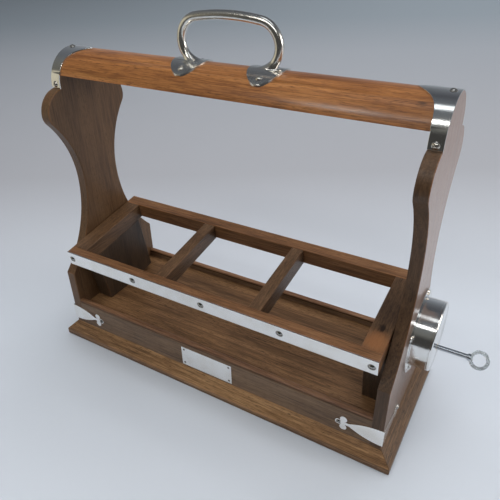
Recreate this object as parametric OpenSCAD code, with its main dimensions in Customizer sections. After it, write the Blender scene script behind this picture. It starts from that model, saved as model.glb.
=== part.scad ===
// Three-bottle oak decanter stand with a tilting, lockable bottle frame and silver-plated mounts.
// Millimetres. X runs along the stand, Y from front to back, Z up; the plinth's underside is Z = 0.
// The frame is shown unlocked and tipped forward on its stop, with the key in the lock.

/* [Overall] */
// clear width between the two end panels
inner_w = 320; // [290:1:350]
// angle by which the bottle frame tips forward
tilt = 9.25; // [6:0.25:12]

/* [Plinth] */
// how far the plinth stands out past the panels at each end
plinth_out_x = 11; // [6:0.5:16]
// how far the plinth stands out past the panels at front and back
plinth_out_y = 8.2; // [5:0.1:12]
// height of the plinth
plinth_h = 17; // [12:0.5:24]
// height of the upright edge below the plinth's bevel
plinth_edge_h = 6.4; // [4:0.1:10]
// depth of the mitred front and back plinth members
plinth_member = 32; // [24:1:44]
// thickness of the board inside the plinth
base_board_t = 12; // [8:1:14]

/* [Tray] */
// height of the top of the front and back aprons
apron_top = 44.3; // [42:0.1:50]
// thickness of an apron
apron_t = 6; // [4:0.5:9]
// height of the rounded nosing on top of an apron
nosing_h = 3; // [2:0.1:4]
// height of the quirk under the nosing
quirk_h = 0.8; // [0.4:0.1:1.2]
// depth of the quirk under the nosing
quirk_d = 0.7; // [0.3:0.1:1.5]
// rounding of the nosing's two edges
nosing_r = 1.9; // [1:0.1:2]
// height of the tray floor's upper face
floor_z = 39.3; // [36:0.1:41]
// thickness of the tray floor
floor_t = 6; // [4:0.5:9]

/* [End panels] */
// thickness of an end panel
panel_t = 10; // [8:0.5:13]
// half depth of a panel at its foot
foot_half = 60.8; // [56:0.1:70]
// height of the sharp corner above the panel's foot
corner_z = 80.4; // [70:0.1:90]
// half depth of the panel at its waist
waist_half = 22.3; // [18:0.1:27]
// height of the panel's waist
waist_z = 170; // [150:1:185]
// half depth of the panel at its shoulder
shoulder_half = 47.8; // [42:0.1:52]
// height of the widest point of the shoulder
shoulder_z = 239; // [232:1:242]
// radius of the lower side of the shoulder
shoulder_low_r = 12; // [8:0.5:16]
// radius of the upper side of the shoulder
shoulder_top_r = 21.6; // [20:0.1:24]
// radius of the panel's domed head
head_r = 28.4; // [25:0.1:31]
// height of the centre of the domed head
head_z = 262.2; // [258:0.1:266]

/* [Top bar] */
// how far the bar's round lies below the panels' heads
bar_step = 0; // [0:0.1:2]
// height of the bar's flat underside above the middle of its round
bar_flat = 9.3; // [4:0.1:14]

/* [Bands] */
// thickness of a band
band_t = 0.9; // [0.6:0.1:1.5]
// how far a band's two ends reach below the middle of the head
band_drop = 2; // [1:0.1:3]
// angle from the top at which the band's side screws sit
band_screw_angle = 86; // [70:1:88]
// angle by which the band's top screw stands in front of its highest point
band_top_angle = 4; // [0:1:12]
// length of the band's point over the bar
tongue_l = 17.5; // [12:0.1:22]
// width of the lip by which a band laps over the bar beside its point
tongue_lip = 0.6; // [0.4:0.1:1.5]
// radius of the hollow curve on each side of the band's point
tongue_hollow_r = 24; // [22:0.5:28]
// half width over which a band's inner edge curves out to its point
tongue_half = 26.5; // [24:0.5:27]

/* [Handle] */
// radius of the round handle
handle_r = 3.6; // [2.8:0.1:4.2]
// how far the handle's middle stands to the right of the bar's middle
handle_x = -1; // [-3:0.5:3]
// half length of the handle's centre line
loop_half = 43.1; // [40:0.1:48]
// height of the handle's widest point above the bar
loop_lift = 15.5; // [14:0.1:20]
// rise of the handle's centre line above its widest point
loop_rise = 19.5; // [18:0.1:24]
// radius of the handle's round ends
loop_end_r = 17.5; // [14:0.1:17.5]
// angle below level at which a round end runs into its leg
loop_leg_angle = 38; // [30:1:44]
// half width of a foot plate along the bar
foot_w = 15; // [12:0.5:17]
// half length of a foot plate across the bar
foot_l = 20; // [18:0.5:22]
// thickness of a foot plate
foot_t = 1.2; // [0.8:0.1:2]
// how far the middle of a foot plate lies inside its leg's end
foot_in = 1.2; // [0:0.1:3]
// length of the flare between a leg and its foot plate, measured along the leg
flare_h = 12.5; // [11:0.5:14]
// radius of the flare's wide end
flare_r = 10; // [8:0.5:11]
// depth of the flare's hollow
flare_bow = 1.2; // [0.6:0.1:1.5]
// distance of the foot screws from the bar's middle line
foot_screw_y = 15; // [12:0.5:16]

/* [Corner straps] */
// thickness of a strap
strap_t = 1; // [0.6:0.1:1.5]
// height of a strap's middle line
strap_z = 30; // [27:0.5:33]
// half height of a strap at the corner
strap_half = 8.6; // [6:0.1:10]
// length from the corner to the neck of a strap
strap_body = 30.5; // [24:0.5:36]
// width of the neck between a strap's body and its finial
strap_neck = 3; // [2:0.1:4]
// radius of the two leaves of a strap's finial
leaf_r = 3.1; // [2:0.1:4]
// half distance between the two leaves of a finial
leaf_gap = 4.4; // [3:0.1:6]
// distance from a strap's neck to the screw in its finial
finial_l = 7; // [6:0.1:9]
// radius of the round pad under a strap's screw
finial_r = 2.8; // [2.3:0.1:3.2]
// radius of a strap screw's head
strap_screw_r = 2.1; // [1.6:0.1:2.3]

/* [Plaque] */
// length of the plaque
plaque_w = 56; // [40:1:70]
// height of the plaque
plaque_h = 22; // [14:0.5:24]
// thickness of the plaque
plaque_t = 0.8; // [0.5:0.1:1.5]
// height of the plaque's middle
plaque_z = 30.4; // [29:0.1:32]

/* [Bottle frame] */
// gap between the frame and each panel
frame_gap = 1.3; // [0.8:0.1:2.5]
// half depth of the frame
frame_half = 52.5; // [48:0.5:56]
// height of the frame's top when it stands upright
frame_top = 119.1; // [112:0.1:124]
// height of the frame's rails
rail_h = 15.3; // [12:0.1:20]
// thickness of the front rail behind its strip
front_rail_t = 8.6; // [7:0.1:12]
// thickness of the rear rail
rear_rail_t = 12.2; // [9:0.1:15]
// width of an end rail and of the cheek below it
end_rail_w = 17; // [12:0.5:22]
// width of a divider between two bottles
divider_w = 11.6; // [8:0.1:15]
// half depth of a cheek
cheek_half = 34.2; // [26:0.1:40]
// thickness of the strip along the front rail
strip_t = 1.2; // [0.8:0.1:2]
// distance of the outer strip screws from the strip's ends
strip_screw_in = 5; // [4:0.5:9]
// number of screws in the strip
strip_screw_n = 5; // [3:1:7]

/* [Pivot] */
// height of the pivot pins
pivot_z = 44.5; // [43:0.1:46]
// radius of a pivot pin
pivot_r = 2.5; // [2:0.1:2.8]
// depth of a pivot pin in the cheek
pivot_in_cheek = 11; // [8:0.5:13]
// depth of a pivot pin in the panel
pivot_in_panel = 5; // [4:0.5:7]

/* [Lock] */
// distance of the lock's centre behind the stand's middle
lock_y = 5; // [4:0.5:6]
// height of the lock's centre
lock_z = 94.2; // [92:0.1:97]
// radius of the drum
drum_r = 29.3; // [27:0.1:30]
// distance from the panel to the drum's outer face
drum_d = 18.1; // [16:0.1:24]
// wall of the drum
drum_wall = 1.5; // [1:0.1:2]
// radius of the flange
flange_r = 36.2; // [35.8:0.1:38]
// thickness of the flange
flange_t = 1.6; // [1:0.1:2]
// radius on which the flange's screws sit
lock_screw_ring = 32.9; // [32.8:0.1:33.2]
// drop from the lock's centre to the keyhole
key_drop = 10.8; // [10.6:0.1:12.5]
// radius of the stud on the cheek
stud_r = 2; // [1.5:0.1:2.4]
// width of the bolt
bolt_w = 3.4; // [2.6:0.1:3.4]
// thickness of the bolt
bolt_t = 2.6; // [2:0.1:3.2]
// radius on which the arbor's crank pin turns
crank_r = 3.4; // [2.8:0.1:3.8]
// radius of the crank pin
crank_pin_r = 0.9; // [0.6:0.1:1.1]
// angle through which the key turns
key_swing = 90; // [60:5:90]

/* [Key] */
// radius of the key's shaft
key_r = 2.05; // [1.6:0.05:2.3]
// distance from the drum's face to the middle of the bow
key_reach = 33.2; // [26:0.1:40]
// radius of the bow's ring, to the middle of its section
bow_r = 6.4; // [5:0.1:9]
// width of the bow's flat ring
bow_w = 2.9; // [2.2:0.1:4]
// thickness of the bow's flat ring
bow_t = 2.2; // [1.6:0.1:3]
// angle at which the bow stands, from upright
bow_angle = 40; // [0:5:60]

/* [Screws] */
// radius of a round screw head
screw_head_r = 2.7; // [2:0.1:3.2]
// height of a round screw head
screw_head_h = 1.5; // [1:0.1:2.2]
// radius of a screw's shank
screw_r = 1.2; // [0.8:0.1:1.5]
// length of a screw below its head
screw_l = 6; // [4:0.5:7]
// radius of a small pin's head
pin_head_r = 1.2; // [0.8:0.1:1.6]
// radius of a small pin's shank
pin_r = 0.5; // [0.4:0.05:0.7]
// length of a small pin below its head
pin_l = 4; // [3:0.5:5]

/* [Fits] */
// radial clearance of a running or sliding fit
fit = 0.06; // [0.02:0.01:0.1]
// gap at a stop, or between parts that pass each other
clear = 0.3; // [0.2:0.05:0.5]

/* [Hidden] */

$fn = 32;
shank_fn = 20;
pin_fn = 16;
tube_fn = 32;
round_fn = 72;
oval_fn = 96;
arc_fn = 144;
wood_dark = [0.30, 0.20, 0.13];
wood_mid = [0.45, 0.31, 0.20];
wood_gold = [0.58, 0.37, 0.19];
wood_frame = [0.50, 0.29, 0.15];
silver = [0.80, 0.80, 0.78];
steel = [0.55, 0.56, 0.58];
brass = [0.72, 0.58, 0.32];

half_w = inner_w / 2;
outer_x = half_w + panel_t;
plinth_x = outer_x + plinth_out_x;
plinth_y = foot_half + plinth_out_y;
tray_half = foot_half - apron_t;
member_x = plinth_member * plinth_out_x / plinth_out_y;

low_arc_r = (pow(foot_half - waist_half, 2) + pow(waist_z - corner_z, 2)) / (2 * (foot_half - waist_half));
lobe_y = shoulder_half - shoulder_low_r;
crown_y = shoulder_half - shoulder_top_r;
arc_d = waist_half - lobe_y;
arc_rise = shoulder_z - waist_z;
high_arc_r = (arc_d * arc_d + arc_rise * arc_rise - shoulder_low_r * shoulder_low_r)
    / (2 * (shoulder_low_r - arc_d));
high_arc_y = waist_half + high_arc_r;
tangent_share = high_arc_r / (high_arc_r + shoulder_low_r);
tangent_y = high_arc_y + (lobe_y - high_arc_y) * tangent_share;
tangent_z = waist_z + arc_rise * tangent_share;

bar_r = head_r - bar_step;
bar_top = head_z + bar_r;
bar_bottom = head_z + bar_flat;
band_end_z = head_z - band_drop;
finial_at = strap_body + finial_l;
loop_z = bar_top + loop_lift;
loop_end_x = loop_half - loop_end_r;
loop_bow = loop_rise - loop_end_r;
loop_drop = (loop_end_x * loop_end_x - loop_bow * loop_bow) / (2 * loop_bow);
loop_top_r = loop_drop + loop_rise;
loop_top_angle = atan(loop_end_x / loop_drop);
leg_x = loop_end_x + loop_end_r * cos(loop_leg_angle);
leg_z = loop_z - loop_end_r * sin(loop_leg_angle);
leg_drop = leg_z - bar_top;
leg_l = leg_drop / cos(loop_leg_angle);
leg_end_x = leg_x - leg_drop * tan(loop_leg_angle);
foot_x = leg_end_x - foot_in;
tube_step = handle_r / 64;
lap_angle = 1;
leg_r = handle_r - 2 * tube_step;
flare_chord = norm([flare_r - leg_r, flare_h]);
flare_arc_r = flare_chord * flare_chord / (8 * flare_bow) + flare_bow / 2;
flare_arc_x = (flare_r + leg_r) / 2 + (flare_arc_r - flare_bow) * flare_h / flare_chord;
flare_arc_z = flare_h / 2 + (flare_arc_r - flare_bow) * (flare_r - leg_r) / flare_chord;
foot_screw_angle = asin(foot_screw_y / (bar_r + foot_t));

frame_x = half_w - frame_gap;
rail_z = frame_top - rail_h;
rail_front = -frame_half + strip_t;
open_front = rail_front + front_rail_t;
open_back = frame_half - rear_rail_t;
open_w = (2 * frame_x - 2 * end_rail_w - 2 * divider_w) / 3;
divider_x = open_w / 2 + divider_w / 2;
heel = pivot_z - floor_z - clear;
strip_screw_x = frame_x - strip_screw_in;
strip_screw_step = 2 * strip_screw_x / (strip_screw_n - 1);

flange_x = outer_x + flange_t;
face_x = outer_x + drum_d;
face_back = face_x - drum_wall;
key_z = lock_z - key_drop;
stud_arc = norm([lock_y, lock_z - pivot_z]);
stud_tip_y = lock_y * cos(tilt) - (lock_z - pivot_z) * sin(tilt);
stud_slot_r = stud_r + 2 * clear;
stud_slot_z = pivot_z + stud_arc - clear;
bolt_y = (stud_tip_y + lock_y) / 2;
bolt_x = flange_x + clear;
bolt_x2 = bolt_x + bolt_t;
crank_x = bolt_x2 + clear;
crank_t = 2;
crank_rim = 0.7;
crank_disc_r = crank_r + crank_pin_r + crank_rim;
crank_y = lock_y - crank_r * cos(key_swing / 2);
crank_z = key_z - crank_r * sin(key_swing / 2);
bolt_throw = 2 * crank_r * sin(key_swing / 2);
bolt_drop = 1;
bolt_tip = lock_z - stud_r - bolt_drop;
notch_play = 0.5;
notch_h = 2 * crank_pin_r + notch_play;
talon_lip = 2;
talon_half = notch_h / 2 + talon_lip;
guide_h = 2.4;
guide_wall = 1.2;
guide_high_z = crank_z + talon_half + bolt_throw + clear;
guide_low_z = crank_z - talon_half - clear - guide_h;
bolt_bottom = guide_low_z - bolt_throw - clear;
barrel_wall = 1.2;
barrel_r = key_r + fit + barrel_wall;
spindle_r = 1;
square_s = key_r * 0.8;
square_l = 4;
key_seat = 1;
key_end = crank_x + crank_t + key_seat;
bow_x = face_x + key_reach;
collar_rim = 0.9;
collar_r = key_r + collar_rim;
collar_l = 2.6;
shaft_end = bow_x - bow_r;
bow_corner = 0.46;
drum_line_w = 0.6;
drum_line_in = 2;
drum_line_deep = 0.5;
drum_ease = 0.85;
plaque_pin_in = 3;
slot_share = 0.22;
slot_floor = 0.55;
pin_dome = 1.3;
lock_screw_from = 66;
strap_size = strap_screw_r / screw_head_r;

module along_x(x0, len) {
    translate([x0, 0, 0]) rotate([90, 0, 90]) linear_extrude(len) children();
}

module rod_x(x0, len, r) {
    translate([x0, 0, 0]) rotate([0, 90, 0]) cylinder(h = len, r = r);
}

module tip_frame() {
    translate([0, 0, pivot_z]) rotate([tilt, 0, 0]) translate([0, 0, -pivot_z]) children();
}

// round-headed slotted screw, seated on Z = 0 with its shank downward
module round_screw(size = 1) {
    head = screw_head_r * size;
    high = screw_head_h * size;
    dome_r = (head * head + high * high) / (2 * high);
    slot_w = head * slot_share;
    difference() {
        rotate_extrude($fn = 24) intersection() {
            translate([0, high - dome_r]) circle(r = dome_r, $fn = 48);
            square([head, high]);
        }
        translate([-head, -slot_w / 2, high * slot_floor]) cube([2 * head, slot_w, high]);
    }
    translate([0, 0, -screw_l * size]) cylinder(h = screw_l * size, r = screw_r * size, $fn = shank_fn);
}

module screw_bore(size = 1) {
    depth = screw_l * size;
    translate([0, 0, -depth - 1]) cylinder(h = depth + 2, r = screw_r * size + fit, $fn = shank_fn);
}

module small_pin() {
    dome_r = pin_head_r * pin_dome;
    dome_h = dome_r - sqrt(dome_r * dome_r - pin_head_r * pin_head_r);
    rotate_extrude($fn = 20) intersection() {
        translate([0, dome_h - dome_r]) circle(r = dome_r, $fn = 40);
        square([pin_head_r, dome_h]);
    }
    translate([0, 0, -pin_l]) cylinder(h = pin_l, r = pin_r, $fn = pin_fn);
}

module pin_bore() {
    translate([0, 0, -pin_l - 1]) cylinder(h = pin_l + 2, r = pin_r + fit, $fn = pin_fn);
}

/* plinth */

module plinth_slab() {
    intersection() {
        along_x(-plinth_x, 2 * plinth_x) polygon([[-plinth_y, 0], [plinth_y, 0], [plinth_y, plinth_edge_h],
            [foot_half, plinth_h], [-foot_half, plinth_h], [-plinth_y, plinth_edge_h]]);
        translate([0, plinth_y, 0]) rotate([90, 0, 0]) linear_extrude(2 * plinth_y)
            polygon([[-plinth_x, 0], [plinth_x, 0], [plinth_x, plinth_edge_h], [outer_x, plinth_h],
                [-outer_x, plinth_h], [-plinth_x, plinth_edge_h]]);
    }
}

module long_member(s) {
    intersection() {
        plinth_slab();
        linear_extrude(plinth_h) polygon([[-plinth_x, s * plinth_y], [plinth_x, s * plinth_y],
            [plinth_x - member_x, s * (plinth_y - plinth_member)],
            [-plinth_x + member_x, s * (plinth_y - plinth_member)]]);
    }
}

module end_member(s) {
    intersection() {
        plinth_slab();
        linear_extrude(plinth_h) polygon([[s * plinth_x, -plinth_y], [s * plinth_x, plinth_y],
            [s * (plinth_x - member_x), plinth_y - plinth_member],
            [s * (plinth_x - member_x), -plinth_y + plinth_member]]);
    }
}

module plinth_front() {
    color(wood_mid) long_member(-1);
}

module plinth_back() {
    color(wood_mid) long_member(1);
}

module plinth_left() {
    color(wood_mid) end_member(-1);
}

module plinth_right() {
    color(wood_mid) end_member(1);
}

module base_board() {
    board_x = plinth_x - member_x;
    board_y = plinth_y - plinth_member;
    color(wood_mid) translate([-board_x, -board_y, 0]) cube([2 * board_x, 2 * board_y, base_board_t]);
}

/* tray */

module apron() {
    translate([-half_w, -foot_half, plinth_h]) cube([inner_w, apron_t, apron_top - plinth_h]);
}

module front_apron() {
    color(wood_dark) difference() {
        apron();
        plaque_pin_places() pin_bore();
        strap_front_screws([-1, 1]) screw_bore(strap_size);
    }
}

module back_apron() {
    color(wood_dark) mirror([0, 1, 0]) apron();
}

module nosing_section() {
    top = apron_top + nosing_h;
    translate([-foot_half + quirk_d, apron_top]) square([apron_t - quirk_d, quirk_h]);
    translate([-foot_half, apron_top + quirk_h]) square([apron_t, nosing_h - quirk_h - nosing_r]);
    translate([-foot_half + nosing_r, apron_top + quirk_h])
        square([apron_t - 2 * nosing_r, nosing_h - quirk_h]);
    intersection() {
        for (y = [-foot_half + nosing_r, -tray_half - nosing_r])
            translate([y, top - nosing_r]) circle(r = nosing_r);
        translate([-foot_half, apron_top + quirk_h]) square([apron_t, nosing_h]);
    }
}

module front_nosing() {
    color(wood_mid) along_x(-half_w, inner_w) nosing_section();
}

module back_nosing() {
    color(wood_mid) mirror([0, 1, 0]) along_x(-half_w, inner_w) nosing_section();
}

module tray_floor() {
    color(wood_mid) translate([-half_w, -tray_half, floor_z - floor_t])
        cube([inner_w, 2 * tray_half, floor_t]);
}

/* end panels and top bar */

module panel_outline() {
    translate([-foot_half, plinth_h]) square([2 * foot_half, corner_z - plinth_h]);
    difference() {
        translate([-foot_half, corner_z]) square([2 * foot_half, waist_z - corner_z]);
        for (s = [-1, 1]) translate([s * (waist_half + low_arc_r), waist_z])
            circle(r = low_arc_r, $fn = arc_fn);
    }
    difference() {
        translate([-tangent_y, waist_z]) square([2 * tangent_y, tangent_z - waist_z]);
        for (s = [-1, 1]) translate([s * high_arc_y, waist_z]) circle(r = high_arc_r, $fn = arc_fn);
    }
    for (s = [-1, 1]) translate([s * lobe_y, shoulder_z]) circle(r = shoulder_low_r, $fn = round_fn);
    translate([-lobe_y, tangent_z - 1]) square([2 * lobe_y, shoulder_z - tangent_z + 1]);
    intersection() {
        union() {
            for (s = [-1, 1]) translate([s * crown_y, shoulder_z]) circle(r = shoulder_top_r, $fn = round_fn);
            translate([-crown_y, shoulder_z]) square([2 * crown_y, shoulder_top_r]);
        }
        translate([-shoulder_half, shoulder_z]) square([2 * shoulder_half, shoulder_top_r]);
    }
    translate([-bar_r, shoulder_z]) square([2 * bar_r, head_z - shoulder_z]);
    translate([0, head_z]) circle(r = head_r, $fn = arc_fn);
}

module band_screw_places(side) {
    for (a = [-band_screw_angle, band_top_angle, band_screw_angle])
        translate([side * (half_w + panel_t / 2), 0, head_z]) rotate([a, 0, 0])
            translate([0, 0, head_r + band_t]) children();
}

module panel(side) {
    difference() {
        along_x(side > 0 ? half_w : -outer_x, panel_t) panel_outline();
        translate([0, 0, pivot_z]) rod_x(side * half_w - pivot_in_panel, 2 * pivot_in_panel, pivot_r + fit);
        band_screw_places(side) screw_bore();
        strap_side_screws(side) screw_bore(strap_size);
        if (side > 0) {
            along_x(half_w - 1, panel_t + 2) stud_slot();
            lock_screw_places() screw_bore();
        }
    }
}

module left_panel() {
    color(wood_dark) panel(-1);
}

module right_panel() {
    color(wood_dark) panel(1);
}

module top_bar() {
    color(wood_gold) difference() {
        along_x(-half_w, inner_w) intersection() {
            translate([0, head_z]) circle(r = bar_r, $fn = arc_fn);
            translate([-bar_r, bar_bottom]) square([2 * bar_r, bar_r]);
        }
        for (s = [-1, 1]) foot_screw_places(s) screw_bore();
    }
}

/* silver bands over the panels' heads */

// a band seen from above: the panel's thickness, and a point over the bar with a hollow on each side
module band_plan() {
    reach = head_r + band_t + 1;
    hollow_x = tongue_lip + tongue_hollow_r;
    far = norm([tongue_half, hollow_x - tongue_l]);
    near = sqrt(far * far - tongue_hollow_r * tongue_hollow_r);
    slope = asin(tongue_hollow_r / far) - atan((hollow_x - tongue_l) / tongue_half);
    flank_y = near * cos(slope);
    translate([0, -reach]) square([panel_t, 2 * reach]);
    difference() {
        translate([-tongue_l, -tongue_half]) square([tongue_l, 2 * tongue_half]);
        for (s = [-1, 1]) {
            translate([-hollow_x, s * tongue_half]) circle(r = tongue_hollow_r, $fn = arc_fn);
            polygon([[-tongue_l, 0], [near * sin(slope) - tongue_l, s * flank_y],
                [-2 * tongue_l, s * flank_y], [-2 * tongue_l, 0]]);
        }
    }
}

module band(side) {
    difference() {
        intersection() {
            along_x(side > 0 ? half_w - tongue_l : -outer_x, panel_t + tongue_l) difference() {
                translate([0, head_z]) circle(r = head_r + band_t, $fn = arc_fn);
                panel_outline();
                translate([-2 * head_r, 0]) square([4 * head_r, band_end_z]);
            }
            mirror([side > 0 ? 0 : 1, 0, 0]) translate([half_w, 0, band_end_z - 1])
                linear_extrude(2 * head_r) band_plan();
        }
        band_screw_places(side) screw_bore();
    }
}

module left_band() {
    color(silver) band(-1);
}

module right_band() {
    color(silver) band(1);
}

module band_screws() {
    color(silver) for (s = [-1, 1]) band_screw_places(s) round_screw();
}

/* carrying handle */

module loop_arc(x, z, r, from, sweep, tube_r) {
    translate([x, 0, z]) rotate([90, 0, 0]) rotate([0, 0, from])
        rotate_extrude(angle = sweep, $fn = round_fn) translate([r, 0]) circle(r = tube_r, $fn = tube_fn);
}

module foot_screw_places(side) {
    for (a = [-foot_screw_angle, foot_screw_angle])
        translate([handle_x + side * foot_x, 0, head_z]) rotate([a, 0, 0])
            translate([0, 0, bar_r + foot_t]) children();
}

module foot_flare() {
    rotate_extrude($fn = 48) difference() {
        polygon([[0, 0], [flare_r, 0], [leg_r, flare_h], [0, flare_h]]);
        translate([flare_arc_x, flare_arc_z]) circle(r = flare_arc_r, $fn = arc_fn);
    }
}

module handle() {
    end_sweep = 90 - loop_top_angle + loop_leg_angle + lap_angle;
    color(silver) translate([handle_x, 0, 0]) {
        loop_arc(0, loop_z - loop_drop, loop_top_r, 90 - loop_top_angle, 2 * loop_top_angle, handle_r);
        loop_arc(loop_end_x, loop_z, loop_end_r, -loop_leg_angle, end_sweep, handle_r - tube_step);
        loop_arc(-loop_end_x, loop_z, loop_end_r, 90 + loop_top_angle - lap_angle, end_sweep,
            handle_r - tube_step);
    }
}

// one leg of the handle with its flared base and its oval plate, bent to the bar
module foot(side) {
    difference() {
        union() {
            translate([handle_x + side * leg_x, 0, leg_z]) rotate([0, side * (180 + loop_leg_angle), 0]) {
                cylinder(h = leg_l, r = leg_r, $fn = tube_fn);
                translate([0, 0, flare_h]) mirror([0, 0, 1]) foot_flare();
            }
            intersection() {
                translate([0, 0, head_z]) rod_x(-outer_x, 2 * outer_x, bar_r + foot_t, $fn = arc_fn);
                translate([handle_x + side * foot_x, 0, head_z]) scale([foot_w / foot_l, 1, 1])
                    cylinder(h = 2 * bar_r, r = foot_l, $fn = oval_fn);
            }
        }
        translate([0, 0, head_z]) rod_x(-outer_x, 2 * outer_x, bar_r, $fn = arc_fn);
        foot_screw_places(side) screw_bore();
    }
}

module left_foot() {
    color(silver) foot(-1);
}

module right_foot() {
    color(silver) foot(1);
}

module handle_screws() {
    color(silver) for (s = [-1, 1]) foot_screw_places(s) round_screw();
}

/* corner straps */

module strap_leg() {
    arc_r = (strap_body * strap_body + strap_half * strap_half) / (2 * strap_half);
    difference() {
        intersection_for (s = [-1, 1]) translate([0, s * (arc_r - strap_half)])
            circle(r = arc_r, $fn = arc_fn);
        translate([-2 * arc_r, -arc_r]) square([2 * arc_r, 2 * arc_r]);
    }
    translate([strap_body - 2 * strap_neck, -strap_neck / 2]) square([3 * strap_neck, strap_neck]);
    translate([strap_body + leaf_r / 3, 0]) {
        for (s = [-1, 1]) translate([leaf_r / 2, s * leaf_gap]) circle(r = leaf_r);
        translate([0, -leaf_gap]) square([leaf_r, 2 * leaf_gap]);
    }
    translate([strap_body, -strap_neck / 2]) square([finial_l, strap_neck]);
    translate([finial_at, 0]) circle(r = finial_r);
}

module strap(side) {
    translate([side * outer_x, -foot_half, strap_z]) {
        rotate([90, 0, 0]) mirror([side > 0 ? 1 : 0, 0, 0]) linear_extrude(strap_t) strap_leg();
        mirror([side > 0 ? 0 : 1, 0, 0]) rotate([90, 0, 90]) linear_extrude(strap_t) strap_leg();
        translate([side > 0 ? 0 : -strap_t, -strap_t, -strap_half]) cube([strap_t, strap_t, 2 * strap_half]);
    }
}

module strap_front_screws(sides) {
    for (s = sides) translate([s * (outer_x - finial_at), -foot_half - strap_t, strap_z])
        rotate([90, 0, 0]) children();
}

module strap_side_screws(side) {
    translate([side * (outer_x + strap_t), -foot_half + finial_at, strap_z])
        rotate([0, side * 90, 0]) children();
}

module drilled_strap(side) {
    difference() {
        strap(side);
        strap_front_screws([side]) screw_bore(strap_size);
        strap_side_screws(side) screw_bore(strap_size);
    }
}

module left_strap() {
    color(silver) drilled_strap(-1);
}

module right_strap() {
    color(silver) drilled_strap(1);
}

module strap_screws() {
    color(silver) {
        strap_front_screws([-1, 1]) round_screw(strap_size);
        for (s = [-1, 1]) strap_side_screws(s) round_screw(strap_size);
    }
}

/* plaque, left bare */

module plaque_pin_places() {
    for (s = [-1, 1], t = [-1, 1]) translate([s * (plaque_w / 2 - plaque_pin_in), -foot_half - plaque_t,
        plaque_z + t * (plaque_h / 2 - plaque_pin_in)]) rotate([90, 0, 0]) children();
}

module plaque() {
    color(silver) difference() {
        translate([-plaque_w / 2, -foot_half - plaque_t, plaque_z - plaque_h / 2])
            cube([plaque_w, plaque_t, plaque_h]);
        plaque_pin_places() pin_bore();
    }
}

module plaque_pins() {
    color(silver) plaque_pin_places() small_pin();
}

/* pivot */

module pivot(side) {
    pin_x = half_w + pivot_in_panel - clear;
    pin_len = pivot_in_panel - clear + frame_gap + pivot_in_cheek;
    translate([side * pin_x, 0, pivot_z]) rotate([0, -side * 90, 0])
        cylinder(h = pin_len, r = pivot_r, $fn = 48);
}

module left_pivot() {
    color(steel) pivot(-1);
}

module right_pivot() {
    color(steel) pivot(1);
}

/* lock */

module lock_screw_places() {
    for (i = [0 : 3]) translate([flange_x, lock_y, lock_z]) rotate([lock_screw_from + 90 * i, 0, 0])
        translate([0, lock_screw_ring, 0]) rotate([0, 90, 0]) children();
}

module stud_slot() {
    for (y = [stud_tip_y, lock_y]) translate([y, stud_slot_z]) circle(r = stud_slot_r, $fn = 36);
    translate([stud_tip_y, stud_slot_z - stud_slot_r]) square([lock_y - stud_tip_y, 2 * stud_slot_r]);
}

module lock_flange() {
    color(silver) difference() {
        translate([0, lock_y, lock_z]) rod_x(outer_x, flange_t, flange_r, $fn = round_fn);
        along_x(outer_x - 1, flange_t + 2) stud_slot();
        translate([0, lock_y, key_z]) rod_x(outer_x - 1, flange_t + 2, spindle_r + fit);
        lock_screw_places() screw_bore();
    }
}

module lock_drum() {
    color(silver) difference() {
        translate([flange_x, lock_y, lock_z]) rotate([0, 90, 0]) rotate_extrude($fn = round_fn) {
            depth = face_x - flange_x;
            difference() {
                square([drum_r, depth]);
                square([drum_r - drum_wall, depth - drum_wall]);
                translate([drum_r - drum_line_deep, depth - drum_line_in - drum_line_w])
                    square([drum_wall, drum_line_w]);
                polygon([[drum_r - drum_ease, depth], [drum_r, depth - drum_ease], [drum_r + 1, depth + 1]]);
            }
        }
        translate([0, lock_y, key_z]) rod_x(face_back - 1, drum_wall + 2, barrel_r + fit);
    }
}

module lock_screws() {
    color(silver) lock_screw_places() round_screw();
}

module bolt_guide(z) {
    inner = bolt_w + 2 * clear;
    translate([flange_x, bolt_y - inner / 2 - guide_wall, z]) difference() {
        cube([bolt_t + 2 * clear + guide_wall, inner + 2 * guide_wall, guide_h]);
        translate([-1, guide_wall, -1]) cube([bolt_t + 2 * clear + 1, inner, guide_h + 2]);
    }
}

module upper_guide() {
    color(brass) bolt_guide(guide_high_z);
}

module lower_guide() {
    color(brass) bolt_guide(guide_low_z);
}

module lock_bolt() {
    talon_end = crank_y + crank_pin_r;
    color(brass) difference() {
        union() {
            translate([bolt_x, bolt_y - bolt_w / 2, bolt_bottom])
                cube([bolt_t, bolt_w, bolt_tip - bolt_bottom]);
            translate([bolt_x, bolt_y - bolt_w / 2, crank_z - talon_half])
                cube([bolt_t, talon_end - bolt_y + bolt_w / 2, 2 * talon_half]);
        }
        translate([bolt_x - 1, lock_y - crank_r - crank_pin_r - clear, crank_z - notch_h / 2])
            cube([bolt_t + 2, 2 * crank_r, notch_h]);
    }
}

module lock_arbor() {
    color(brass) {
        difference() {
            union() {
                translate([0, lock_y, key_z]) rod_x(outer_x + clear, crank_x - outer_x - clear, spindle_r);
                translate([0, lock_y, key_z]) rod_x(crank_x, crank_t, crank_disc_r);
                translate([0, lock_y, key_z]) rod_x(crank_x + crank_t, face_x - crank_x - crank_t, barrel_r);
                translate([0, crank_y, crank_z]) rod_x(bolt_x, crank_x - bolt_x, crank_pin_r, $fn = 24);
            }
            translate([0, lock_y, key_z]) rod_x(key_end - clear, face_x, key_r + fit);
        }
        translate([key_end - clear, lock_y - square_s / 2, key_z - square_s / 2])
            cube([square_l, square_s, square_s]);
    }
}

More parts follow.
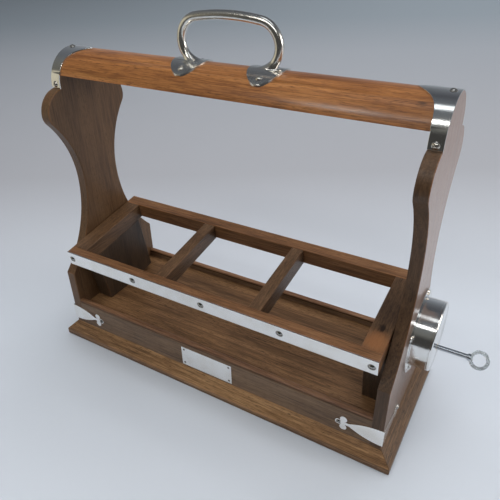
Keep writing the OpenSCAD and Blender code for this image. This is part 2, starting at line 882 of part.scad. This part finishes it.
module key_shaft() {
    socket = square_s + 2 * fit;
    color(steel) difference() {
        translate([0, lock_y, key_z]) {
            rod_x(key_end, shaft_end - key_end, key_r);
            rod_x(shaft_end - collar_l, collar_l, collar_r);
        }
        translate([key_end - 1, lock_y - socket / 2, key_z - socket / 2])
            cube([square_l + 1, socket, socket]);
        bow_ring();
    }
}

// flat ring with rounded edges
module bow_ring() {
    translate([bow_x, lock_y, key_z]) rotate([90 - bow_angle, 0, 0]) rotate_extrude($fn = 60)
        translate([bow_r, 0]) intersection() {
            square([bow_w, bow_t], center = true);
            circle(r = norm([bow_w, bow_t]) * bow_corner, $fn = 48);
        }
}

module key_bow() {
    color(steel) bow_ring();
}

/* bottle frame */

module strip_screw_places() {
    for (i = [0 : strip_screw_n - 1]) translate([-strip_screw_x + i * strip_screw_step, -frame_half,
        rail_z + rail_h / 2]) rotate([90, 0, 0]) children();
}

module front_rail() {
    color(wood_frame) tip_frame() difference() {
        translate([-frame_x, rail_front, rail_z]) cube([2 * frame_x, front_rail_t, rail_h]);
        strip_screw_places() screw_bore();
    }
}

module rear_rail() {
    color(wood_frame) tip_frame() translate([-frame_x, open_back, rail_z])
        cube([2 * frame_x, rear_rail_t, rail_h]);
}

module cross_rail(x, width) {
    tip_frame() translate([x - width / 2, open_front, rail_z])
        cube([width, open_back - open_front, rail_h]);
}

module left_end_rail() {
    color(wood_frame) cross_rail(-frame_x + end_rail_w / 2, end_rail_w);
}

module right_end_rail() {
    color(wood_frame) cross_rail(frame_x - end_rail_w / 2, end_rail_w);
}

module left_divider() {
    color(wood_frame) cross_rail(-divider_x, divider_w);
}

module right_divider() {
    color(wood_frame) cross_rail(divider_x, divider_w);
}

module cheek_outline() {
    reach = 2 * cheek_half;
    translate([0, pivot_z]) intersection() {
        translate([-cheek_half, -heel]) square([2 * cheek_half, rail_z - pivot_z + heel]);
        rotate(-tilt) translate([-reach, -heel]) square([2 * reach, 2 * reach]);
    }
}

module cheek(side) {
    bore_x = side > 0 ? frame_x - pivot_in_cheek - clear : -frame_x - 1;
    difference() {
        along_x(side > 0 ? frame_x - end_rail_w : -frame_x, end_rail_w) cheek_outline();
        translate([0, 0, pivot_z]) rod_x(bore_x, pivot_in_cheek + clear + 1, pivot_r + fit, $fn = 48);
        if (side > 0) translate([0, lock_y, lock_z])
            rod_x(frame_x - end_rail_w / 2, end_rail_w, stud_r + fit);
    }
}

module left_cheek() {
    color(wood_dark) tip_frame() cheek(-1);
}

module right_cheek() {
    color(wood_dark) tip_frame() cheek(1);
}

module front_strip() {
    color(silver) tip_frame() difference() {
        translate([-frame_x, -frame_half, rail_z]) cube([2 * frame_x, strip_t, rail_h]);
        strip_screw_places() screw_bore();
    }
}

module strip_screws() {
    color(silver) tip_frame() strip_screw_places() round_screw();
}

module lock_stud() {
    stud_x = frame_x - end_rail_w / 2 + clear;
    color(steel) tip_frame() translate([0, lock_y, lock_z]) rod_x(stud_x, crank_x + crank_t - stud_x, stud_r);
}

plinth_front();
plinth_back();
plinth_left();
plinth_right();
base_board();
front_apron();
back_apron();
front_nosing();
back_nosing();
tray_floor();
left_panel();
right_panel();
top_bar();
left_band();
right_band();
band_screws();
handle();
left_foot();
right_foot();
handle_screws();
left_strap();
right_strap();
strap_screws();
plaque();
plaque_pins();
left_pivot();
right_pivot();
lock_flange();
lock_drum();
lock_screws();
upper_guide();
lower_guide();
lock_bolt();
lock_arbor();
key_shaft();
key_bow();
front_rail();
rear_rail();
left_end_rail();
right_end_rail();
left_divider();
right_divider();
left_cheek();
right_cheek();
front_strip();
strip_screws();
lock_stud();
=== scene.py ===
import math

import bmesh
import bpy
from mathutils import Matrix, Vector


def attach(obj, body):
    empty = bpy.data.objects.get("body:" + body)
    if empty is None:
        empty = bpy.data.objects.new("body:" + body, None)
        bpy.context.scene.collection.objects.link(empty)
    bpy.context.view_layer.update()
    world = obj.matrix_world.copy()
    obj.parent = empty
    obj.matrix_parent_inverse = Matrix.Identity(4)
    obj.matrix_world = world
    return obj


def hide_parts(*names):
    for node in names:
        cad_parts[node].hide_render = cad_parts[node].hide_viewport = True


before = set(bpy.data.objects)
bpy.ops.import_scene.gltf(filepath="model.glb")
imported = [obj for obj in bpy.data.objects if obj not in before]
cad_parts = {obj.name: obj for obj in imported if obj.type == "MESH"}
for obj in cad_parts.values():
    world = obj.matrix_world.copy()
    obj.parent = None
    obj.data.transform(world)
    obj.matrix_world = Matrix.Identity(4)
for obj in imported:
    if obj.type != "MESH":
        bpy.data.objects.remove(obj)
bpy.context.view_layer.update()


# Camera: a hand-held view from the front right, just above the bar and looking down at the tray.
# Its place, turn and lens were fitted to the photograph's corners and screws.
view_place = Vector((0.22073, -0.34768, 0.38131))
view_turn = math.radians(30.72)
view_dip = math.radians(-32.03)
view_roll = math.radians(1.22)
ahead = Vector((-math.sin(view_turn) * math.cos(view_dip),
                math.cos(view_turn) * math.cos(view_dip), math.sin(view_dip)))
level = Vector((math.cos(view_turn), math.sin(view_turn), 0))
under = ahead.cross(level)
right = level * math.cos(view_roll) + under * math.sin(view_roll)
up = level * math.sin(view_roll) - under * math.cos(view_roll)
camera = bpy.data.objects.new("camera", bpy.data.cameras.new("camera"))
camera.data.lens = 37.52
camera.data.sensor_width = 36
camera.data.clip_start = 0.01
camera.matrix_world = Matrix((right, up, -ahead)).transposed().to_4x4()
camera.matrix_world.translation = view_place
bpy.context.scene.collection.objects.link(camera)
bpy.context.scene.camera = camera


# Studio: a sheet of pale paper that ends under the camera so that the silver mirrors the dim room
# in front. Painted shade darkens the paper to blue-grey away from the camera, with a painted
# shadow of the stand behind it. The strips, the lamp and the light on the right show in the silver
# too; the washes only light the wood and the paper.
class Wire:
    """A socket of a shader tree. Arithmetic on it adds Math nodes, and node adds any other."""

    def __init__(self, tree, socket=None):
        self.tree = tree
        self.socket = socket

    def node(self, kind, settings, sockets, output=0):
        """A new node: its settings first, then the values or links of its sockets."""
        made = self.tree.nodes.new("ShaderNode" + kind)
        stops = settings.get("stops")
        for name, value in settings.items():
            if name != "stops":
                setattr(made, name, value)
        if stops:
            while len(made.color_ramp.elements) < len(stops):
                made.color_ramp.elements.new(0.5)
            for element, (place, colour) in zip(made.color_ramp.elements, stops):
                element.position = place
                element.color = colour
        for name, value in sockets.items():
            if isinstance(value, Wire):
                self.tree.links.new(value.socket, made.inputs[name])
            else:
                made.inputs[name].default_value = value
        return Wire(self.tree, made.outputs[output])

    def other(self, output):
        return Wire(self.tree, self.socket.node.outputs[output])

    def maths(self, operation, first, second):
        return self.node("Math", {"operation": operation}, {0: first, 1: second})

    def mixed(self, factor, first, second):
        """The first colour, giving way to the second as factor goes from 0 to 1."""
        return self.node("Mix", {"data_type": "RGBA"}, {0: factor, 6: first, 7: second}, 2)

    def spread(self, low, high, start=0.0, end=1.0):
        """A soft step from start to end as the value goes from low to high."""
        settings = {"interpolation_type": "SMOOTHSTEP"}
        return self.node("MapRange", settings, {0: self, 1: low, 2: high, 3: start, 4: end})

    def __add__(self, other):
        return self.maths("ADD", self, other)

    __radd__ = __add__

    def __sub__(self, other):
        return self.maths("SUBTRACT", self, other)

    def __rsub__(self, other):
        return self.maths("SUBTRACT", other, self)

    def __mul__(self, other):
        return self.maths("MULTIPLY", self, other)

    __rmul__ = __mul__

    def __truediv__(self, other):
        return self.maths("DIVIDE", self, other)


def tone(red, green, blue):
    """A colour as a paint chart gives it, from 0 to 255, in the shader's linear numbers."""
    return tuple(((c / 255 + 0.055) / 1.055) ** 2.4 for c in (red, green, blue)) + (1.0,)


away_from_camera = (-0.51, 0.86, 0)
paper_near, paper_far = -0.2, 2.8
# The paper's tones are painted shade: they dim away from the camera, with a painted shadow of the
# stand in the dip behind it.
paper_shade_stops = [(0.08, tone(195, 202, 211)), (0.22, tone(166, 168, 174)),
               (0.56, tone(172, 177, 184)), (0.82, tone(159, 169, 177))]
paper = bpy.data.materials.new("paper")
paper.use_nodes = True
paper_wire = Wire(paper.node_tree)
paper_place = paper_wire.node("TexCoord", {}, {}, "Object")
paper_reach = paper_wire.node("VectorMath", {"operation": "DOT_PRODUCT"},
                              {0: paper_place, 1: away_from_camera}, "Value")
paper_share = paper_wire.node("MapRange", {}, {0: paper_reach, 1: paper_near, 2: paper_far})
paper_painted_shade = paper_wire.node("ValToRGB", {"stops": paper_shade_stops}, {0: paper_share})
paper_shader = paper.node_tree.nodes["Principled BSDF"]
paper_shader.inputs["Roughness"].default_value = 0.6
paper.node_tree.links.new(paper_painted_shade.socket, paper_shader.inputs["Base Color"])
paper_half = 8.0
paper_front = -0.5
paper_shape = bmesh.new()
bmesh.ops.create_grid(paper_shape, x_segments=1, y_segments=1, size=paper_half)
bmesh.ops.translate(paper_shape, verts=paper_shape.verts, vec=(0, paper_front + paper_half, 0))
paper_mesh = bpy.data.meshes.new("paper_floor")
paper_shape.to_mesh(paper_mesh)
paper_shape.free()
paper_mesh.materials.append(paper)
paper_floor = bpy.data.objects.new("paper_floor", paper_mesh)
bpy.context.scene.collection.objects.link(paper_floor)


def soft_light(name, place, target, width, height, watts, colour, mirrored=True):
    """An oblong lamp at place, turned to target."""
    light = bpy.data.lights.new(name, "AREA")
    light.shape = "RECTANGLE"
    light.size = width
    light.size_y = height
    light.energy = watts
    light.color = colour
    lamp = bpy.data.objects.new(name, light)
    turn = (Vector(place) - Vector(target)).to_track_quat("Z", "Y")
    lamp.matrix_world = Matrix.Translation(place) @ turn.to_matrix().to_4x4()
    lamp.visible_glossy = mirrored
    bpy.context.scene.collection.objects.link(lamp)


cool_white, white, warm_white, amber_white = ((0.90, 0.95, 1.0), (0.98, 0.99, 1.0),
                                              (1.0, 0.95, 0.90), (1.0, 0.93, 0.87))
wash_white, front_white, back_white = (1.0, 0.99, 0.98), (1.0, 0.98, 0.96), (0.97, 0.98, 1.0)
soft_light("overhead_strip", (0.15, -0.10, 1.28), (0.15, -0.02, 0.2), 0.7, 0.20, 0.8, cool_white)
soft_light("front_strip", (0.25, -0.51, 0.78), (0.25, -0.02, 0.28), 0.60, 0.08, 0.8, white)
soft_light("front_lamp", (-0.15, -0.51, 0.77), (-0.15, -0.02, 0.28), 0.15, 0.12, 0.75, warm_white)
soft_light("top_wash", (0.0, 0.3, 1.7), (0, 0, 0.1), 1.8, 1.4, 19.5, wash_white, mirrored=False)
soft_light("front_wash", (0.3, -1.5, 1.1), (0, 0, 0.1), 1.2, 0.8, 6.5, front_white, mirrored=False)
soft_light("back_wash", (0.1, 3.2, 2.6), (-0.8, 1.9, 0), 3.0, 2.0, 60, back_white, mirrored=False)
soft_light("right_side", (1.7, 0.5, 0.7), (0.1, 0, 0.15), 0.9, 0.8, 11, amber_white)

wall_stops = [(0.0, tone(160, 166, 173)), (0.35, tone(122, 127, 134)),
              (0.85, tone(78, 80, 86)), (1.0, tone(98, 103, 110))]
dim_stops = [(0.0, tone(64, 63, 62)), (0.28, tone(60, 59, 58)),
             (0.5, tone(108, 108, 104)), (1.0, tone(98, 103, 110))]
cream_wall, plain_backdrop = tone(205, 198, 178), tone(186, 192, 200)
room = bpy.data.worlds.new("room")
room.use_nodes = True
room_wire = Wire(room.node_tree)
room_way = room_wire.node("TexCoord", {}, {}, "Generated")
room_across = room_wire.node("SeparateXYZ", {}, {0: room_way})
room_deep, room_high = room_across.other("Y"), room_across.other("Z")
room_behind = room_wire.node("ValToRGB", {"stops": wall_stops}, {0: room_high})
room_front = room_wire.node("ValToRGB", {"stops": dim_stops}, {0: room_high})
room_tone = room_wire.mixed(room_deep.spread(-0.25, 0.15), room_front, room_behind)
low_on_the_left = (room_across.spread(-0.55, -0.75) * room_high.spread(0.42, 0.28)
                   * room_deep.spread(0.1, -0.1))
room_tone = room_wire.mixed(low_on_the_left, room_tone, cream_wall)
seen_directly = room_wire.node("LightPath", {}, {}, "Is Camera Ray")
room_tone = room_wire.mixed(seen_directly, room_tone, plain_backdrop)
room_sky = room.node_tree.nodes["Background"]
room.node_tree.links.new(room_tone.socket, room_sky.inputs["Color"])
room_sky.inputs["Strength"].default_value = 1.0
bpy.context.scene.world = room
bpy.context.scene.view_settings.view_transform = "Standard"


# Plinth: four mitred oak members with an upright edge and a bevel, round a plain base board.
# Fumed and waxed oak; the corners are eased with sandpaper and the mitres show as fine lines.
# The dark tone that low mixes in is painted shade.
oak_shade = tone(30, 20, 13)
# The paler warm tone of a painted reflection on one face.
painted_reflection_oak = tone(146, 98, 62)


def oak(name, along, deep, middle, light, pith, ring=2.6, pore=0.5, polish=0.08, gloss=0.26,
        bloom=0.0, wear=0.7, low=None, waxed=None, marks=()):
    """Oak whose grain runs along axis 0, 1 or 2, in three tones, with the log's heart at pith.

    All lengths are mm: ring is a year's growth; low is painted shade, full below its first height
    and gone at its second; waxed is the x of the one face with a coat of wax, whose colour is also
    lightened there by a painted reflection, most near the top; a mark is a place, a reach, its
    strength and its tone. polish and gloss are the wax and its roughness, and bloom is its haze.
    """
    material = bpy.data.materials.new(name)
    material.use_nodes = True
    wire = Wire(material.node_tree)
    spot = wire.node("TexCoord", {}, {}, "Object")
    spot = wire.node("VectorMath", {"operation": "SCALE"}, {0: spot, "Scale": 1000.0})
    split = wire.node("SeparateXYZ", {}, {0: spot})
    axes = [split, split.other("Y"), split.other("Z")]
    length = axes[along]
    depth, width = [axes[k] for k in range(3) if k != along]

    def streaks(long, wide, detail):
        place = wire.node("CombineXYZ", {}, {0: length / long, 1: depth / wide, 2: width / wide})
        return wire.node("TexNoise", {}, {"Vector": place, "Scale": 1.0, "Detail": detail,
                                          "Roughness": 0.55})

    from_pith = wire.node("CombineXYZ", {}, {0: 0.0, 1: depth - pith[0], 2: width - pith[1]})
    radius = (wire.node("VectorMath", {"operation": "LENGTH"}, {0: from_pith}, "Value")
              + streaks(190.0, 46.0, 2.0) * 5.0)
    rings = wire.node("TexNoise", {"noise_dimensions": "1D"},
                      {"W": radius / ring, "Scale": 1.0, "Detail": 2.0, "Roughness": 0.6})
    early = rings.spread(0.32, 0.68)
    clouds = streaks(110.0, 20.0, 3.0).spread(0.3, 0.7)
    strands = streaks(48.0, 1.7, 2.0).spread(0.28, 0.72)
    fibres = streaks(20.0, 0.75, 2.0).spread(0.25, 0.75)
    pores = streaks(6.5, 0.4, 1.0).spread(0.55, 0.68) * (0.35 + early * 0.65)
    share = early * 0.17 + clouds * 0.25 + strands * 0.24 + fibres * 0.34
    colour = wire.node("ValToRGB", {"stops": [(0.12, deep), (0.5, middle), (0.88, light)]},
                       {0: share})
    in_the_pores = tuple(c * 0.35 for c in deep[:3]) + (1.0,)
    colour = wire.mixed(pores * pore, colour, in_the_pores)
    rubbed = wire.node("Attribute", {"attribute_name": "wear"}, {}, "Fac") * (clouds * wear)
    rubbed_oak = tuple(c * k for c, k in zip(light[:3], (1.25, 1.0, 0.82))) + (1.0,)
    colour = wire.mixed(rubbed, colour, rubbed_oak)
    height = split.other("Z")
    # Painted shade: darker below the given height.
    if low:
        full_below, gone_above, strength = low
        colour = wire.mixed(height.spread(full_below, gone_above, strength, 0.0), colour, oak_shade)
    for place, reach, strength, stain in marks:
        gap = wire.node("VectorMath", {"operation": "DISTANCE"}, {0: spot, 1: place}, "Value")
        gap = gap + strands * 3.0
        colour = wire.mixed(gap.spread(reach * 0.3, reach, strength, 0.0), colour, stain)
    shader = material.node_tree.nodes["Principled BSDF"]
    join = material.node_tree.links.new
    if waxed is None:
        shader.inputs["Coat Weight"].default_value = polish
    else:
        outside = split.spread(waxed - 1.0, waxed - 0.3) * height.spread(30.0, 200.0, 0.3, 1.0)
        # On that face the colour is lightened towards a paler warm tone, most near the top: a
        # painted reflection. The coat there is the wax.
        colour = wire.mixed(outside * (0.3 + fibres * 0.35), colour, painted_reflection_oak)
        join((outside * polish).socket, shader.inputs["Coat Weight"])
    bump = wire.node("Bump", {}, {"Strength": 0.3, "Distance": 0.0002,
                                  "Height": 1.0 - pores * 0.7 - fibres * 0.2})
    join(colour.socket, shader.inputs["Base Color"])
    join((0.36 + pores * 0.2 + strands * 0.1).socket, shader.inputs["Roughness"])
    join(bump.socket, shader.inputs["Normal"])
    shader.inputs["Specular IOR Level"].default_value = 0.35
    shader.inputs["Coat Roughness"].default_value = gloss
    shader.inputs["Sheen Weight"].default_value = bloom
    shader.inputs["Sheen Roughness"].default_value = 0.45
    shader.inputs["Sheen Tint"].default_value = (1.0, 0.80, 0.70, 1.0)
    return material


same_spot = 2e-6
flat_turn = math.radians(0.3)
corner_turn = math.radians(28)
eased_sharp, plain_sharp = math.radians(20), math.radians(30)


def eased(node, piece, ease, material, body, shortest=0.0007):
    """A copy of a solid, joined up again, with its corners eased and marked for wear.

    Edges up to shortest belong to small bores and rounds, and stay sharp.
    """
    shape = bmesh.new()
    shape.from_mesh(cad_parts[node].data)
    bmesh.ops.remove_doubles(shape, verts=shape.verts, dist=same_spot)
    bmesh.ops.dissolve_limit(shape, angle_limit=flat_turn, verts=shape.verts, edges=shape.edges)
    wear = shape.loops.layers.float.new("wear")
    if ease:
        corners = [edge for edge in shape.edges
                   if edge.is_manifold and edge.calc_length() > shortest
                   and edge.calc_face_angle_signed() > corner_turn]
        rounded = bmesh.ops.bevel(shape, geom=corners, offset=ease, offset_type="OFFSET",
                                  affect="EDGES", segments=2, profile=0.5, material=-1,
                                  clamp_overlap=True)
        for face in rounded["faces"]:
            for corner in face.loops:
                corner[wear] = 1.0
    for face in shape.faces:
        face.smooth = True
        face.material_index = 0
    mesh = bpy.data.meshes.new(piece)
    shape.to_mesh(mesh)
    shape.free()
    mesh.set_sharp_from_angle(angle=eased_sharp if ease else plain_sharp)
    mesh.materials.append(material)
    made = bpy.data.objects.new(piece, mesh)
    bpy.context.scene.collection.objects.link(made)
    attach(made, body)
    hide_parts(node)
    return made


def finish_node(node, material):
    """A solid that stays as it is gets its finish."""
    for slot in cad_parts[node].material_slots:
        slot.material = material


plinth_ease = 0.0007
plinth_tones = (tone(70, 49, 31), tone(133, 99, 66), tone(170, 134, 94))
plinth_end_tones = (tone(54, 37, 22), tone(95, 69, 43), tone(122, 92, 60))
# Painted shade: the plinth is darker in its lowest 5 mm, where the upright edge faces the floor.
painted_foot_shade = (2.0, 5.0, 0.5)
plinth_oak = oak("plinth_oak", 0, *plinth_tones, pith=(-30, -160), pore=0.8, wear=0.2,
                 low=painted_foot_shade)
plinth_end_oak = oak("plinth_end_oak", 1, *plinth_end_tones, pith=(90, -120), pore=0.8, wear=0.2,
                     low=painted_foot_shade)
for side in ("front", "back"):
    eased("plinth_" + side, "plinth_member_" + side, plinth_ease, plinth_oak, "stand")
for side in ("left", "right"):
    eased("plinth_" + side, "plinth_member_" + side, plinth_ease, plinth_end_oak, "stand")
finish_node("base_board", plinth_oak)


# Tray: a front and a back apron between the panels, each under a rounded nosing whose lower edge
# is darkened by painted shade along the quirk, and a thin floor for the decanters. The floor is a
# warmer board than the greyish aprons.
apron_ease, nosing_ease = 0.0003, 0.0002
apron_tones = (tone(70, 51, 35), tone(110, 87, 66), tone(134, 109, 84))
nosing_tones = (tone(72, 46, 31), tone(116, 84, 61), tone(144, 110, 83))
floor_tones = (tone(58, 38, 22), tone(104, 76, 50), tone(134, 100, 68))
# Painted shade: the nosing is darker along its lowest edge, over the quirk.
painted_quirk_shade = (45.0, 46.3, 0.8)
apron_oak = oak("apron_oak", 0, *apron_tones, pith=(20, -90), ring=2.0, pore=0.6)
nosing_oak = oak("nosing_oak", 0, *nosing_tones, pith=(40, 20), ring=1.6, low=painted_quirk_shade)
floor_oak = oak("floor_oak", 0, *floor_tones, pith=(20, 150), ring=3.4, pore=0.8)
for side in ("front", "back"):
    eased(side + "_apron", side + "_apron_board", apron_ease, apron_oak, "stand")
    eased(side + "_nosing", side + "_nosing_strip", nosing_ease, nosing_oak, "stand")
finish_node("tray_floor", floor_oak)


# End panels: sawn from wide boards with the grain upright, from the foot's sharp corner through the
# waist to the shoulders and the domed head. The curves are filed smooth and the edges eased, and
# the right panel's outer face has a coat of wax and a painted reflection that lightens its colour,
# most of all near the top.
panel_ease = 0.0008
right_outer_face = 170.0
left_panel_tones = (tone(66, 46, 30), tone(96, 71, 48), tone(108, 82, 57))
right_panel_tones = (tone(44, 31, 20), tone(74, 54, 37), tone(94, 71, 50))
left_panel_oak = oak("left_panel_oak", 2, *left_panel_tones, pith=(60, 30), ring=2.8, polish=0.05)
right_panel_oak = oak("right_panel_oak", 2, *right_panel_tones, pith=(60, 30), ring=2.8,
                      polish=0.85, gloss=0.2, bloom=0.14, waxed=right_outer_face)
for side, panel_oak in (("left", left_panel_oak), ("right", right_panel_oak)):
    eased(side + "_panel", side + "_end_panel", panel_ease, panel_oak, "stand")


# Top bar: a length of lighter oak, round on top and left flat below, polished by hands. It lies
# between the panels' heads, a little lower than the silver bands, with a knot by the right one.
bar_ease = 0.0008
bar_tones = (tone(82, 44, 18), tone(140, 90, 46), tone(171, 117, 65))
darker_end = ((176.0, -18.0, 280.0), 50.0, 0.25, tone(52, 34, 22))
bar_knot = ((150.7, -15.3, 283.2), 6.0, 0.8, tone(34, 22, 14))
bar_oak = oak("bar_oak", 0, *bar_tones, pith=(-12, 214), ring=3.0, pore=0.75, polish=0.4,
              gloss=0.2, marks=(darker_end, bar_knot))
eased("top_bar", "turned_bar", bar_ease, bar_oak, "stand")


# Bands: strips of silver-plated brass bent over the panels' heads, each held by three
# round-headed screws. The plate is bright, with small dents and a little cloudy tarnish.
# Painted shade round screws: dark out to the first distance, gone at the second.
shade_reach, shade_end = 0.0026, 0.0038
screw_ring_shade = tone(30, 28, 26)


def silver(name, colour, dull, dents=0.12, screws=()):
    """Metal with cloudy tarnish: dull is its roughness; painted shade rings each place in screws.
    """
    material = bpy.data.materials.new(name)
    material.use_nodes = True
    wire = Wire(material.node_tree)
    spot = wire.node("TexCoord", {}, {}, "Object")
    noise = wire.node("TexNoise", {}, {"Vector": spot, "Scale": 60.0, "Detail": 2.0})
    clouds = noise.spread(0.35, 0.75)
    tarnished = tuple(c * k for c, k in zip(colour[:3], (0.80, 0.76, 0.68))) + (1.0,)
    plate = wire.mixed(clouds * 0.35, colour, tarnished)
    # A ring of painted shade round each screw's recess.
    for centre in screws:
        gap = wire.node("VectorMath", {"operation": "DISTANCE"}, {0: spot, 1: centre}, "Value")
        plate = wire.mixed(gap.spread(shade_reach, shade_end, 0.93, 0.0), plate, screw_ring_shade)
    roughness = dull + clouds * 0.05
    shader = material.node_tree.nodes["Principled BSDF"]
    join = material.node_tree.links.new
    if dents:
        fine = wire.node("TexNoise", {}, {"Vector": spot, "Scale": 900.0, "Detail": 2.0})
        rubs = fine.spread(0.3, 0.7)
        roughness = roughness + rubs * (dents * 0.2)
        bump = wire.node("Bump", {}, {"Strength": dents, "Distance": 0.00008, "Height": rubs})
        join(bump.socket, shader.inputs["Normal"])
    join(plate.socket, shader.inputs["Base Color"])
    join(roughness.socket, shader.inputs["Roughness"])
    shader.inputs["Metallic"].default_value = 1.0
    return material


band_ease, shortest_band_edge = 0.00015, 0.0005
bright_silver = silver("bright_silver", (0.84, 0.84, 0.82, 1.0), 0.11)
screw_silver = silver("screw_silver", (0.62, 0.60, 0.56, 1.0), 0.22)
for side in ("left", "right"):
    eased(side + "_band", side + "_band_strip", band_ease, bright_silver, "stand",
                  shortest_band_edge)
eased("band_screws", "band_screw_heads", 0, screw_silver, "stand")


# Handle: a bowed loop of round silver-plated bar on two legs that lean inwards, each with a
# flared base on an oval plate, bent to the bar and screwed down in front and behind.
handle_silver = silver("handle_silver", (0.80, 0.79, 0.75, 1.0), 0.19)
eased("handle", "handle_loop", 0, handle_silver, "stand")
for side in ("left", "right"):
    eased(side + "_foot", side + "_foot_plate", 0, handle_silver, "stand")
eased("handle_screws", "foot_screw_heads", 0, screw_silver, "stand")


# Corner straps and plaque: thin silver-plated cut-outs, paler than the bands, fixed with dark
# screws and pins. The straps fold round the panels' corners and end in leaves; the plaque is bare.
strap_ease, plaque_ease, shortest_plate_edge = 0.00012, 0.00015, 0.0004
worn_silver = silver("worn_silver", (0.97, 0.96, 0.94, 1.0), 0.22, 0.0)
dark_screw = silver("dark_screw", (0.36, 0.35, 0.33, 1.0), 0.2)
for side in ("left", "right"):
    eased(side + "_strap", side + "_corner_strap", strap_ease, worn_silver, "stand",
                  shortest_plate_edge)
eased("strap_screws", "strap_screw_heads", 0, dark_screw, "stand")
eased("plaque", "plaque_plate", plaque_ease, worn_silver, "stand", shortest_plate_edge)
eased("plaque_pins", "plaque_pin_heads", 0, dark_screw, "stand")


# Bottle frame: front and rear rails with darker end rails and dividers let in between them, on two
# upright cheeks whose feet are cut to a shallow V. The right end rail has painted light at its
# front and painted shadow in its middle, beside a knot, and a silver-plated strip is screwed along
# the front rail.
rail_ease, cross_ease, cheek_ease, strip_ease = 0.0005, 0.0004, 0.0006, 0.0002
rail_tones = (tone(62, 40, 24), tone(108, 75, 48), tone(134, 97, 66))
cross_tones = (tone(50, 35, 23), tone(88, 65, 45), tone(110, 84, 60))
cheek_tones = (tone(34, 25, 17), tone(62, 47, 34), tone(80, 62, 46))
# Painted light and shadow on the right end rail: paler at its front where light falls, darker in
# the middle in the shadow of the panel and the bar.
painted_shadow_middle = ((151.5, -12.0, 118.0), 26.0, 0.4, tone(44, 33, 26))
painted_light_corner = ((150.4, -46.0, 112.5), 17.0, 0.7, tone(140, 92, 54))
rail_knot = ((150.5, -31.5, 115.0), 6.5, 0.92, tone(26, 17, 11))
rail_oak = oak("rail_oak", 0, *rail_tones, pith=(-70, 60), ring=2.2, pore=0.5, polish=0.1)
cross_oak = oak("cross_oak", 1, *cross_tones, pith=(-40, 60), ring=2.4, pore=0.5, polish=0.1,
                marks=(painted_shadow_middle, painted_light_corner, rail_knot))
cheek_oak = oak("cheek_oak", 2, *cheek_tones, pith=(50, 20), ring=2.4)
for side in ("front", "rear"):
    eased(side + "_rail", side + "_rail_bar", rail_ease, rail_oak, "frame")
for cross in ("left_end_rail", "right_end_rail", "left_divider", "right_divider"):
    eased(cross, cross + "_bar", cross_ease, cross_oak, "frame")
for side in ("left", "right"):
    eased(side + "_cheek", side + "_cheek_board", cheek_ease, cheek_oak, "frame")
screw_pitch, strip_screw_y, strip_screw_z = 0.07685, -0.0626, 0.1021
# The strip's screws sit in rings of painted shade.
strip_places = [(k * screw_pitch, strip_screw_y, strip_screw_z) for k in (-2, -1, 0, 1, 2)]
strip_silver = silver("strip_silver", (0.98, 0.97, 0.95, 1.0), 0.20, 0.0, strip_places)
eased("front_strip", "rail_strip", strip_ease, strip_silver, "frame",
              shortest_plate_edge)
eased("strip_screws", "strip_screw_heads", 0, dark_screw, "frame")


# Pivots and lock: steel pins carry the frame, and a stud on its right cheek passes through the
# panel into a silver-plated drum, where a brass bolt moved by the arbor holds it.
steel = silver("steel", (0.56, 0.58, 0.61, 1.0), 0.25)
brass = silver("brass", (0.72, 0.55, 0.28, 1.0), 0.30)
for pin in ("left_pivot", "right_pivot", "lock_stud"):
    finish_node(pin, steel)
for inner in ("upper_guide", "lower_guide", "lock_bolt", "lock_arbor"):
    finish_node(inner, brass)
drum_ease, shortest_drum_edge = 0.0002, 0.0005
lock_silver = silver("lock_silver", (0.84, 0.84, 0.83, 1.0), 0.10, 0.10)
eased("lock_flange", "drum_flange", drum_ease, lock_silver, "stand", shortest_drum_edge)
eased("lock_drum", "drum_shell", drum_ease, lock_silver, "stand", shortest_drum_edge)
eased("lock_screws", "drum_screw_heads", 0, screw_silver, "stand")


# Key: a plain steel shaft with a collar, its bow a round ring of paler, duller metal. The shaft's
# pipe fits the arbor's square, so the key turns the bolt and can be drawn out.
key_ease, shortest_key_edge = 0.0001, 0.0003
key_steel = silver("key_steel", (0.46, 0.49, 0.53, 1.0), 0.12)
bow_steel = silver("bow_steel", (0.80, 0.87, 0.93, 1.0), 0.24)
eased("key_shaft", "key_stem", key_ease, key_steel, "key", shortest_key_edge)
eased("key_bow", "key_ring", 0, bow_steel, "key")
